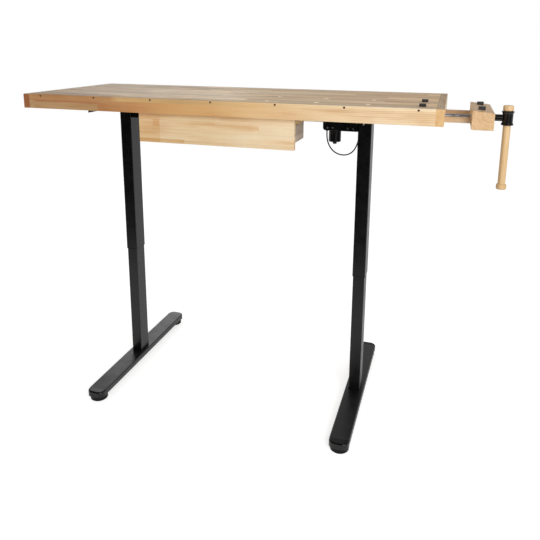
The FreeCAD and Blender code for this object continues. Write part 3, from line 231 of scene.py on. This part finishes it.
class Timber(Finish):
    """Glued staves of solid timber. axes names the row axes along the grain, across the staves and
    through them, and stave is one stave's length and width."""

    def __init__(self, name, axes, stave):
        super().__init__(name, Specular_IOR_Level=0.4)
        place = self.step("SeparateXYZ", (self.place,)).outputs
        facing = self.step("SeparateXYZ", (self.spot["Normal"],)).outputs
        self.along, self.across, self.through = (place["XYZ".index(letter)] for letter in axes)
        self.on_end = self.fade(self.sum("ABSOLUTE", facing["XYZ".index(axes[0])]), *END_FACING)
        self.upward = facing[2]
        self.length, self.width = stave

    def lay_staves(self, seed, scatter):
        """Count the rows and the staves in them, and cut each stave from a place of its own."""
        self.height = self.sum("DIVIDE", self.across, self.width)
        row = self.sum("FLOOR", self.height)
        shuffle = self.step("TexWhiteNoise", {"W": row}, noise_dimensions="1D").outputs["Value"]
        self.run = self.sum("ADD", self.sum("DIVIDE", self.along, self.length),
                            self.sum("MULTIPLY", shuffle, BUTT_SHUFFLE))
        piece = self.step("CombineXYZ", (row, self.sum("FLOOR", self.run), seed)).outputs[0]
        chance = self.step("TexWhiteNoise", {"Vector": piece}, noise_dimensions="3D").outputs["Color"]
        self.luck = self.step("SeparateColor", (chance,)).outputs
        spread = self.width * scatter
        self.timber = self.step("CombineXYZ", (
            self.sum("MULTIPLY_ADD", self.luck[0], CUT_ALONG, self.along),
            self.sum("MULTIPLY_ADD", self.luck[1], CUT_ACROSS * spread, self.across),
            self.sum("MULTIPLY_ADD", self.luck[2], CUT_THROUGH * spread, self.through))).outputs[0]

    def ring_lines(self, pith, ring):
        """Late wood of the growth rings round a pith line: arcs on ends, straight grain on sides."""
        drift = self.noise(self.stretched(self.timber, DRIFT_SCALE), detail=3.0)
        section = self.stretched(self.timber, (0.0, 1.0, 1.0))
        heart = self.step("VectorMath", (section, (0.0, *pith)), operation="DISTANCE").outputs["Value"]
        turns = self.sum("MULTIPLY_ADD", drift, DRIFT_TURNS, self.sum("DIVIDE", heart, ring))
        late = self.sum("FRACT", turns)
        return self.sum("MULTIPLY", self.fade(late, *LATE_WOOD), self.fade(late, *LATE_STOP))

    def shade(self, line, streak, figure, end_figure):
        """How dark the wood is, from its rings, streaks and patches."""
        patch = self.noise(self.stretched(self.timber, PATCH_SCALE), detail=2.0)
        ring_share = self.sum("MULTIPLY_ADD", self.on_end, end_figure, figure)
        shade = self.sum("ADD", self.sum("MULTIPLY", line, ring_share),
                         self.sum("MULTIPLY", self.fade(streak, *STREAK_RANGE),
                                  STREAK_SHARE - figure * STREAK_YIELD))
        return self.sum("MULTIPLY_ADD", self.fade(patch, *PATCH_RANGE), PATCH_SHARE, shade)

    def pores(self):
        fleck = self.noise(self.stretched(self.timber, FLECK_SCALE), detail=1.0)
        return self.fade(fleck, *PORE_RANGE)

    def joint(self, count, share):
        """1 on the joints where the count passes a whole number; share is the joint's half width."""
        off = self.sum("ABSOLUTE", self.sum("SUBTRACT", self.sum("FRACT", count), 0.5))
        return self.fade(off, 0.5 - 2 * share, 0.5 - share)

    def glue_lines(self, seam):
        return self.sum("MAXIMUM", self.joint(self.height, seam / self.width),
                        self.joint(self.run, seam / self.length))

    def tinted(self, share, colour, tone):
        """The colour, multiplied by the tone where share is 1."""
        return self.mix(share, colour, self.mix(1.0, colour, tone, "MULTIPLY"))


def wood(name, axes, pale, mid, dark, stave=(0.42, 0.045), pith=(0.03, -0.08), ring=0.0045,
         figure=0.3, end_figure=0.3, variety=0.22, blush=0.15, seam=0.0004, glue_tone=0.5,
         end=None, upper=None, wall=None, tint=None, gloss=0.45, streaks=45.0, scatter=1.0):
    """Timber in the pale, middle and dark colours. In metres, pith is the rings' centre across and
    through the grain, ring a ring's width and seam a joint's half width. figure is the strength of
    the rings, and end_figure what end grain adds to it. variety and blush are how much the staves
    differ, and scatter is how far apart they are cut. end multiplies the colour of end grain, and
    upper the colour of faces that look up, which paints shade and grey glare on them. tint makes a
    colour that multiplies the whole, and wall is the colour of upright faces: paler cut wood that is
    also painted light on the walls of the top's dog holes. gloss is the least roughness, and
    streaks the streaks' turns in a metre."""
    finish = Timber(name, axes, stave)
    finish.lay_staves(ring * 1000, scatter)  # the rings' width in millimetres serves as the seed
    line = finish.ring_lines(pith, ring)
    streak = finish.noise(finish.stretched(finish.timber, (STREAK_ALONG, streaks, streaks)),
                          detail=5.0, rough=0.62)
    pore = finish.pores()
    glue = finish.glue_lines(seam)
    colour = finish.ramp(finish.shade(line, streak, figure, end_figure),
                         list(zip(TONE_STOPS, (pale, mid, dark))))
    colour = finish.mix(finish.sum("MULTIPLY", finish.luck[1], blush), colour, dark)
    value = finish.sum("MULTIPLY_ADD", finish.luck[0], variety, 1.0 - variety * DARKER_SHARE)
    grey = finish.step("CombineColor", (value, value, value)).outputs[0]
    colour = finish.mix(1.0, colour, grey, "MULTIPLY")
    colour = finish.mix(finish.sum("MULTIPLY", pore, PORE_TONE), colour, dark)
    if end:
        colour = finish.tinted(finish.on_end, colour, end)
    # faces that look up take the upper colour: painted shade and grey glare
    if upper:
        colour = finish.tinted(finish.fade(finish.upward, *UP_FACING), colour, upper)
    if tint:
        colour = finish.mix(1.0, colour, tint(finish), "MULTIPLY")
    # upright faces take the wall colour: paler cut wood, and painted light in the top's dog holes
    if wall:
        upright = finish.fade(finish.sum("ABSOLUTE", finish.upward), *WALL_FACING)
        colour = finish.mix(upright, colour, wall)
    finish.colour(finish.mix(finish.sum("MULTIPLY", glue, glue_tone), colour, GLUE_COLOUR))
    finish.rough(finish.fade(streak, *MOST, gloss, gloss + GLOSS_SPREAD))
    hollow = finish.sum("MULTIPLY", finish.sum("MAXIMUM", glue, pore), PORE_RISE)
    grain = finish.sum("ADD", finish.sum("MULTIPLY", line, RING_RISE), hollow)
    finish.relief(finish.sum("ADD", finish.sum("MULTIPLY", streak, STREAK_RISE), grain), GRAIN_DEPTH)
    return finish.material


# The front edge: three short strips at the left, and two long ones beside them
APRON_X = (-0.860, 0.648)    # its left and right ends
LOWER_JOINT_X = -0.5585
UPPER_JOINT_X = -0.488
UPPER_BLUR = 0.02            # the upper strip's joint is soft
LEFT_LOW_Z = 1.203
LEFT_HIGH_Z = 1.210
LEFT_HIGH_BLUR = 0.003
RIGHT_GLUE_Z = 1.214
GLUE_BLUR = (0.0008, 0.006)  # the long strips' glue line, crisp at the left and lost at the right
GLUE_BLUR_X = (-0.2, 0.1)
SHARP = 0.0004
LEFT_LOW = (0.61, 0.47, 0.34, 1)
LEFT_MIDDLE = (0.56, 0.31, 0.21, 1)
LEFT_HIGH = (0.62, 0.42, 0.265, 1)
RIGHT_UPPER = [(0.18, (0.83, 0.68, 0.44, 1)), (0.42, (0.66, 0.51, 0.33, 1)),
               (0.60, (0.86, 0.73, 0.53, 1)), (0.88, WHITE)]
RIGHT_LOWER = [(0.18, (0.57, 0.35, 0.22, 1)), (0.30, (0.66, 0.42, 0.25, 1)),
               (0.40, (0.76, 0.52, 0.29, 1)), (0.58, (0.85, 0.67, 0.46, 1)), (0.88, WHITE)]
SWAY_SCALE = (3.0, 0.0, 25.0)
SWAY_BY = 0.05               # share of the front's length over which the tones' places vary
CAP_REAR_Y = (0.2992, 0.2998)          # just inside the left end cap's rear end
CAP_REAR_TONE = (1.75, 2.6, 3.3, 1)


def past(finish, value, place, blur=SHARP):
    """0 below that place and 1 above it."""
    return finish.fade(value, place - blur, place + blur)


def apron_tint(finish):
    """Browner staves at the left, golden ones in the middle and pale ones at the right."""
    axis = finish.step("SeparateXYZ", (finish.place,)).outputs
    sway = finish.noise(finish.stretched(finish.place, SWAY_SCALE), detail=2.0)
    at = finish.sum("MULTIPLY_ADD", finish.sum("SUBTRACT", sway, 0.5), SWAY_BY,
                    finish.fade(axis[0], *APRON_X))
    left = finish.mix(past(finish, axis[2], LEFT_LOW_Z), LEFT_LOW, LEFT_MIDDLE)
    left = finish.mix(past(finish, axis[2], LEFT_HIGH_Z, LEFT_HIGH_BLUR), left, LEFT_HIGH)
    blur = finish.fade(axis[0], *GLUE_BLUR_X, *GLUE_BLUR)
    lift = finish.sum("DIVIDE", finish.sum("SUBTRACT", axis[2], RIGHT_GLUE_Z), blur)
    high = finish.fade(lift, -1.0, 1.0)
    right = finish.mix(high, finish.ramp(at, RIGHT_LOWER), finish.ramp(at, RIGHT_UPPER))
    past_low = past(finish, axis[0], LOWER_JOINT_X)
    past_high = past(finish, axis[0], UPPER_JOINT_X, UPPER_BLUR)
    share = finish.sum("MULTIPLY_ADD", high, finish.sum("SUBTRACT", past_high, past_low), past_low)
    return finish.mix(share, left, right)


def left_cap_tint(finish):
    """The cap's front end is reddish and dark; its rear end has the plain tone of end grain."""
    axis = finish.step("SeparateXYZ", (finish.place,)).outputs
    return finish.mix(finish.fade(axis[1], *CAP_REAR_Y), WHITE, CAP_REAR_TONE)


def patch_of(finish, axis, across, height):
    """1 inside a rectangle of the X-Z plane, 0 outside it."""
    soft = 0.0006  # metres
    share = finish.fade(axis[0], across[0] - soft, across[0] + soft)
    share = finish.sum("MULTIPLY", share, finish.fade(axis[0], across[1] + soft, across[1] - soft))
    share = finish.sum("MULTIPLY", share, finish.fade(axis[2], height[0] - soft, height[0] + soft))
    return finish.sum("MULTIPLY", share, finish.fade(axis[2], height[1] + soft, height[1] - soft))


# Short pieces of the drawer's front: from and to in X and in Z, and what multiplies their colour
DRAWER_PIECES = [
    ((-0.402, -0.317), (1.067, 1.174), (0.95, 0.86, 0.74, 1)),
    ((-0.402, -0.221), (1.067, 1.083), (0.90, 0.80, 0.66, 1)),
    ((-0.345, -0.319), (1.128, 1.153), (0.93, 0.82, 0.74, 1)),
    ((-0.317, -0.10), (1.138, 1.174), (0.97, 0.95, 0.90, 1)),
    ((0.02, 0.19), (1.067, 1.103), (1.0, 0.97, 0.93, 1)),
]
DRAWER_X = (-0.402, 0.190)
DRAWER_TONES = [(0.0, (0.97, 0.92, 0.86, 1)), (0.45, (0.94, 0.89, 0.80, 1)), (1.0, WHITE)]

# The working surface's tones, and where its patches of painted glare fade in and out from left to right
TOP_X = (-0.86, 0.65)
# Darker at the left end and yellower at the right; the pale bluish tone about the middle is painted glare
TOP_TONES_AND_GLARE = [(0.0, (0.73, 0.71, 0.70, 1)), (0.3, (0.87, 0.88, 0.90, 1)),
             (0.5, (1.06, 1.10, 1.15, 1)), (1.0, (1.0, 0.94, 0.86, 1))]
# the colour of the patches of painted glare, pale and bluish
GLARE_TONE = (1.25, 1.28, 1.33, 1)
GLARE_SCALE = (5.0, 11.0, 0.0)
GLARE_SPOTS = (0.5, 0.66)     # noise values from none to full painted glare
GLARE_FROM_X = (-0.55, -0.35)
GLARE_TO_X = (0.12, -0.05)


def top_tint_and_glare(finish):
    """The working surface is browner at the left, has a pale bluish band of painted glare about its
    middle, and pale patches of painted glare left of its middle.
    """
    axis = finish.step("SeparateXYZ", (finish.place,)).outputs
    colour = finish.ramp(finish.fade(axis[0], *TOP_X), TOP_TONES_AND_GLARE)
    spots = finish.noise(finish.stretched(finish.place, GLARE_SCALE), detail=3.0)
    window = finish.sum("MULTIPLY", finish.fade(axis[0], *GLARE_FROM_X), finish.fade(axis[0], *GLARE_TO_X))
    share = finish.sum("MULTIPLY", finish.fade(spots, *GLARE_SPOTS), window)
    return finish.mix(share, colour, GLARE_TONE)


def drawer_tint(finish):
    """Browner pieces at the drawer's left end, paler ones to the right."""
    axis = finish.step("SeparateXYZ", (finish.place,)).outputs
    colour = finish.ramp(finish.fade(axis[0], *DRAWER_X), DRAWER_TONES)
    for across, height, tone in DRAWER_PIECES:
        colour = finish.tinted(patch_of(finish, axis, across, height), colour, tone)
    return colour


METAL_MARKS = (60.0, 60.0, 900.0)     # turns a metre of tooling marks
METAL_CLOUD = 45.0                    # and of its cloudy sheen
METAL_DEPTH = 0.00002                 # metres
METAL_DIM = 0.72                      # the dim tone's share of the colour
METAL_STOPS = (0.35, 0.6)             # shades that get the dim tone and the colour
METAL_ROUGH = (-0.06, 0.1)            # roughness that the clouds take and add
COAT_HAZE = 20.0                      # turns a metre of a coat's clouds
COAT_SKIN = 0.3                       # the skin's share of a coat's shade; the clouds have the rest
COAT_STOPS = (0.3, 0.75)              # shades that get the colour and the worn one
COAT_ROUGH = (-0.05, 0.07)


def metal(name, colour, rough, metallic=1.0):
    """Plated or machined steel with fine tooling marks."""
    finish = Finish(name, Metallic=metallic)
    mark = finish.noise(finish.stretched(finish.place, METAL_MARKS), detail=3.0)
    cloud = finish.noise(finish.place, scale=METAL_CLOUD, detail=3.0)
    dim = tuple(c * METAL_DIM for c in colour[:3]) + (1,)
    shade = finish.sum("MULTIPLY_ADD", mark, 0.5, finish.sum("MULTIPLY", cloud, 0.5))
    finish.colour(finish.ramp(shade, list(zip(METAL_STOPS, (dim, colour)))))
    finish.rough(finish.fade(cloud, *MOST, rough + METAL_ROUGH[0], rough + METAL_ROUGH[1]))
    finish.relief(mark, METAL_DEPTH)
    return finish.material


def coated(name, colour, worn, rough, sheen=0.25, grain=1400.0, depth=0.00003):
    """Powder coat, moulded plastic, cast iron or rubber: an even tone with a fine textured skin."""
    finish = Finish(name, Specular_IOR_Level=sheen)
    skin = finish.noise(finish.place, scale=grain, detail=2.0)
    haze = finish.noise(finish.place, scale=COAT_HAZE, detail=4.0, rough=0.6)
    shade = finish.sum("MULTIPLY_ADD", skin, COAT_SKIN, finish.sum("MULTIPLY", haze, 1 - COAT_SKIN))
    finish.colour(finish.ramp(shade, list(zip(COAT_STOPS, (colour, worn)))))
    finish.rough(finish.fade(haze, *MOST, rough + COAT_ROUGH[0], rough + COAT_ROUGH[1]))
    finish.relief(skin, depth)
    return finish.material


# Palettes of a pale, a middle and a dark colour
BEECH = (paint(255, 237, 204), paint(250, 223, 183), paint(218, 172, 122))
BOARD = (paint(252, 227, 190), paint(240, 209, 168), paint(190, 150, 106))
DRAWER = (paint(255, 240, 208), paint(252, 228, 190), paint(226, 182, 130))
PALE = (paint(240, 214, 172), paint(228, 196, 148), paint(190, 150, 104))
# painted shade and grey glare on faces that look up
UP_FACE_PAINTED_SHADE = (0.66, 0.70, 0.80, 1)
WHOLE = (40.0, 0.5)          # one board without a joint

# A finish goes on the node of its name, or on the nodes that USED_ON gives
FINISHES = {
    # the top's upright faces, the dog holes' walls among them, are pale cut wood with painted light
    "top_panel": wood("board_top", "XYZ", *BOARD, stave=(0.62, 0.046), figure=0.16, variety=0.32,
                      blush=0.3, gloss=0.46, streaks=26.0, tint=top_tint_and_glare, wall=paint(255, 240, 212)),
    "front_apron": wood("beech_front", "XZY", *BEECH, stave=WHOLE, figure=0.2, tint=apron_tint,
                        variety=0.0, blush=0.0, pith=(1.05, -0.16), scatter=0.0, upper=UP_FACE_PAINTED_SHADE),
    "back_apron": wood("beech_back", "XZY", *BEECH, stave=(0.9, 0.027), variety=0.12, upper=UP_FACE_PAINTED_SHADE),
    "left_end_cap": wood("beech_left", "YXZ", *BEECH, stave=WHOLE, ring=0.004, variety=0.0,
                         pith=(-0.93, 1.13), end=(0.50, 0.27, 0.165, 1), end_figure=0.5,
                         scatter=0.0, upper=UP_FACE_PAINTED_SHADE, tint=left_cap_tint),
    # upper: painted shade on the right cap's top face
    "right_end_cap": wood("beech_right", "YXZ", *BEECH, stave=WHOLE, ring=0.004, variety=0.0,
                          pith=(0.70, 1.12), end=(0.93, 0.81, 0.61, 1), end_figure=0.45,
                          scatter=0.0, upper=(0.57, 0.52, 0.47, 1)),
    "pale": wood("beech_pale", "YXZ", *PALE, stave=WHOLE, figure=0.3, variety=0.0,
                 end=(0.88, 0.79, 0.73, 1)),
    "rail": wood("beech_rail", "YZX", *PALE, stave=WHOLE, figure=0.3, variety=0.0),
    # upper: painted grey glare on the jaw's top face
    "vise_jaw": wood("beech_jaw", "YXZ", paint(236, 203, 159), paint(225, 186, 139), paint(198, 150, 104),
                     stave=WHOLE, ring=0.0125, figure=0.2, end_figure=0.03, variety=0.0,
                     scatter=0.0, pith=(0.813, 1.221), upper=(0.90, 0.92, 1.0, 1)),
    "guide_bars": wood("beech_bar", "XYZ", paint(218, 187, 150), paint(203, 167, 127),
                       paint(162, 119, 80), stave=WHOLE, figure=0.3, ring=0.003, variety=0.0),
    "handle": wood("beech_turned", "ZXY", paint(240, 210, 165), paint(230, 194, 144),
                   paint(204, 158, 106), stave=WHOLE, figure=0.22, variety=0.0, gloss=0.28,
                   streaks=60.0),
    "drawer_front": wood("drawer_board", "XZY", *DRAWER, stave=(1.3, 0.036), figure=0.2,
                         variety=0.06, blush=0.08, seam=0.0002, glue_tone=0.25, tint=drawer_tint),
    "drawer_side": wood("drawer_ply", "YZX", paint(226, 210, 192), paint(206, 188, 168),
                        paint(168, 148, 128), stave=WHOLE, figure=0.2, variety=0.0),
    "drawer_floor": wood("drawer_board_thin", "XYZ", paint(226, 204, 170), paint(210, 186, 150),
                         paint(176, 144, 106), stave=(0.9, 0.09), figure=0.25),
    "frame_coat": coated("coat_black", paint(5, 5, 6), paint(9, 9, 10), 0.27, sheen=0.5),
    # a slightly lighter copy of the black coat, which paints the light on the right inner tube
    "column_coat": coated("coat_column_lit", paint(8, 8, 9), paint(13, 13, 14), 0.32, sheen=0.45),
    "foot_coat": coated("coat_foot", paint(14, 14, 15), paint(20, 20, 21), 0.34, sheen=0.6),
    "casting": coated("cast_black", paint(8, 7, 7), paint(18, 16, 14), 0.24, sheen=0.5, grain=420.0,
                      depth=0.0001),
    "plastic": coated("plastic_black", paint(5, 5, 6), paint(10, 10, 12), 0.3, sheen=0.32,
                      grain=2200.0),
    "cap": coated("plastic_gloss", paint(3, 3, 4), paint(7, 7, 8), 0.18, sheen=0.5, grain=2200.0,
                  depth=0.00001),
    "dog": coated("plastic_dog", paint(30, 29, 32), paint(52, 50, 52), 0.42, sheen=0.5, grain=2200.0),
    "rubber": coated("rubber_black", paint(6, 6, 6), paint(12, 12, 12), 0.5, sheen=0.25, grain=900.0),
    "grey": coated("plastic_grey", paint(140, 140, 143), paint(156, 156, 158), 0.4, sheen=0.5),
    "nut": coated("plastic_white", paint(226, 222, 210), paint(236, 233, 224), 0.4, sheen=0.5),
    "zinc": metal("zinc_bright", (0.60, 0.58, 0.54, 1), 0.26),
    "vise_screw": metal("steel_bright", (0.70, 0.72, 0.76, 1), 0.38),
    "screw_head": metal("steel_grey", (0.5, 0.5, 0.52, 1), 0.34),
    "dark_screw": metal("steel_dark", paint(112, 82, 56), 0.45, metallic=0.35),
}

USED_ON = {
    "pale": ("cross_batten",),
    "rail": ("guide_blocks", "drawer_rails", "drawer_hangers"),
    "handle": ("handle_bar", "handle_knobs"),
    "drawer_side": ("drawer_sides",),
    "drawer_floor": ("drawer_bottom", "drawer_back"),
    # inner_tube_left has the frame's darker coat; inner_tube_right, the same part, has a lighter copy as
    # painted light
    "frame_coat": ("side_brackets", "crossbars", "leg_tube_left", "leg_tube_right", "motor_body",
                   "inner_tube_left"),
    "column_coat": ("inner_tube_right",),
    "foot_coat": ("foot_left", "foot_right"),
    "casting": ("screw_hub", "vise_nut"),
    "plastic": ("glide_bushes", "gear_housing_front", "gear_housing_rear", "left_gearbox",
                "control_box", "handset"),
    "cap": ("foot_caps_left", "foot_caps_right"),
    "dog": ("bench_dog_front", "bench_dog_rear", "jaw_dog_front", "jaw_dog_rear"),
    "rubber": ("pad_front_left", "pad_rear_left", "pad_front_right", "pad_rear_right",
               "cable_glands"),
    "grey": ("button_down", "button_up"),
    "nut": ("spindle_nut_left", "spindle_nut_right"),
    "zinc": ("spindle_left", "spindle_right", "drive_shaft", "motor_pinion",
             "bracket_bolts", "panel_screws", "thrust_plate"),
    "screw_head": ("housing_screws",),
    "dark_screw": ("apron_screws",),
}


def dress_nodes():
    """Each CAD node gets its finish."""
    for name, material in FINISHES.items():
        for node in USED_ON.get(name, (name,)):
            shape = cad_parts[node]
            if not shape.material_slots:
                shape.data.materials.append(material)
            for place in shape.material_slots:
                place.material = material


# ---------------------------------------------------------------- studio
FLOOR_SIZE = 60.0
FLOOR_ROUGHNESS = 0.9
FLOOR_SPECULAR = 0.1
FLOOR_LIGHT = (0.82, 0.82, 0.82, 1)
FLOOR_DARK = (0.05, 0.05, 0.05, 1)
FLOOR_DARK_FROM = -1.15      # metres: beyond this the floor is a dark card to reflections
FLOOR_DARK_BY = -1.6
FLOOR_SEEN = 0.6             # glow to the eye, which leaves the bench's shadow
FLOOR_MIRRORED = 0.25        # glow in reflections
WORLD_LIGHT = (0.5, 0.5, 0.5, 1)
OVERHEAD = (0.08, 0.5, 1.0, 0.32)      # from and to a height of the ray, and the brightness there
IN_FRONT = (-0.35, 0.15, 0.12, 1.0)    # the same along the ray's Y
LAMP_AIM = (0, 0, 1.05)


def join(tree, kind, inputs=(), **settings):
    """Add a shader node and return its outputs."""
    return add_node(tree, kind, inputs, **settings).outputs


def dress_floor(floor):
    """White to the eye. In reflections it is white round the bench and dark in front of it."""
    material = bpy.data.materials.new("floor_white")
    material.use_nodes = True
    tree = material.node_tree
    shader = tree.nodes["Principled BSDF"]
    shader.inputs["Roughness"].default_value = FLOOR_ROUGHNESS
    shader.inputs["Specular IOR Level"].default_value = FLOOR_SPECULAR
    rays = join(tree, "LightPath")
    place = join(tree, "SeparateXYZ", (join(tree, "TexCoord")["Object"],))
    near = join(tree, "MapRange", (place[1], FLOOR_DARK_BY, FLOOR_DARK_FROM, 0.0, 1.0))[0]
    far = join(tree, "Math", (1.0, near), operation="SUBTRACT")[0]
    dark = join(tree, "Math", (rays["Is Glossy Ray"], far), operation="MULTIPLY")[0]
    tone = join(tree, "MixRGB", (dark, FLOOR_LIGHT, FLOOR_DARK))[0]
    tree.links.new(tone, shader.inputs["Base Color"])
    mirrored = join(tree, "Math", (rays["Is Glossy Ray"], near), operation="MULTIPLY")[0]
    seen = join(tree, "Math", (rays["Is Camera Ray"], FLOOR_SEEN), operation="MULTIPLY")[0]
    glow = join(tree, "Math", (mirrored, FLOOR_MIRRORED, seen), operation="MULTIPLY_ADD")[0]
    shader.inputs["Emission Color"].default_value = WHITE
    tree.links.new(glow, shader.inputs["Emission Strength"])
    floor.data.materials.append(material)


def surround():
    """White to the eye and at the horizon; dimmer overhead and dark in front, as in a studio."""
    world = bpy.data.worlds.new("surround")
    bpy.context.scene.world = world
    world.use_nodes = True
    tree = world.node_tree
    back = tree.nodes["Background"]
    back.inputs["Color"].default_value = WHITE
    rays = join(tree, "LightPath")
    seen = join(tree, "Math", (rays["Is Camera Ray"], rays["Is Transmission Ray"]),
                operation="MAXIMUM")[0]
    towards = join(tree, "SeparateXYZ", (join(tree, "TexCoord")["Generated"],))
    overhead = join(tree, "MapRange", (towards[2], *OVERHEAD))[0]
    behind = join(tree, "MapRange", (towards[1], *IN_FRONT))[0]
    mirrored = join(tree, "Math", (overhead, behind), operation="MULTIPLY")[0]
    strength = join(tree, "MixRGB", (rays["Is Glossy Ray"], WORLD_LIGHT, mirrored))[0]
    strength = join(tree, "MixRGB", (seen, strength, WHITE))[0]
    tree.links.new(strength, back.inputs["Strength"])


# Name, place, size in metres and power in watts
LAMPS = (("key", (2.2, -2.9, 2.2), 1.8, 66.0),
         ("softbox", (-2.2, 3.2, 1.9), 1.8, 13.0))


def studio():
    """A white floor and surround, a key light from the front and right, a softbox at the back left."""
    bpy.ops.mesh.primitive_plane_add(size=FLOOR_SIZE, location=(0, 0, 0))
    floor = bpy.context.active_object
    floor.name = "floor"
    dress_floor(floor)
    surround()
    for name, place, size, power in LAMPS:
        data = bpy.data.lights.new(name, "AREA")
        data.size = size
        data.energy = power
        lamp = bpy.data.objects.new(name, data)
        bpy.context.scene.collection.objects.link(lamp)
        lamp.location = place
        towards = Vector(LAMP_AIM) - lamp.location
        lamp.rotation_euler = towards.to_track_quat("-Z", "Y").to_euler()
    bpy.context.scene.view_settings.view_transform = "Standard"


place_camera()
lead = hang_cable()
dress_nodes()
lead.data.materials.append(FINISHES["rubber"])
studio()
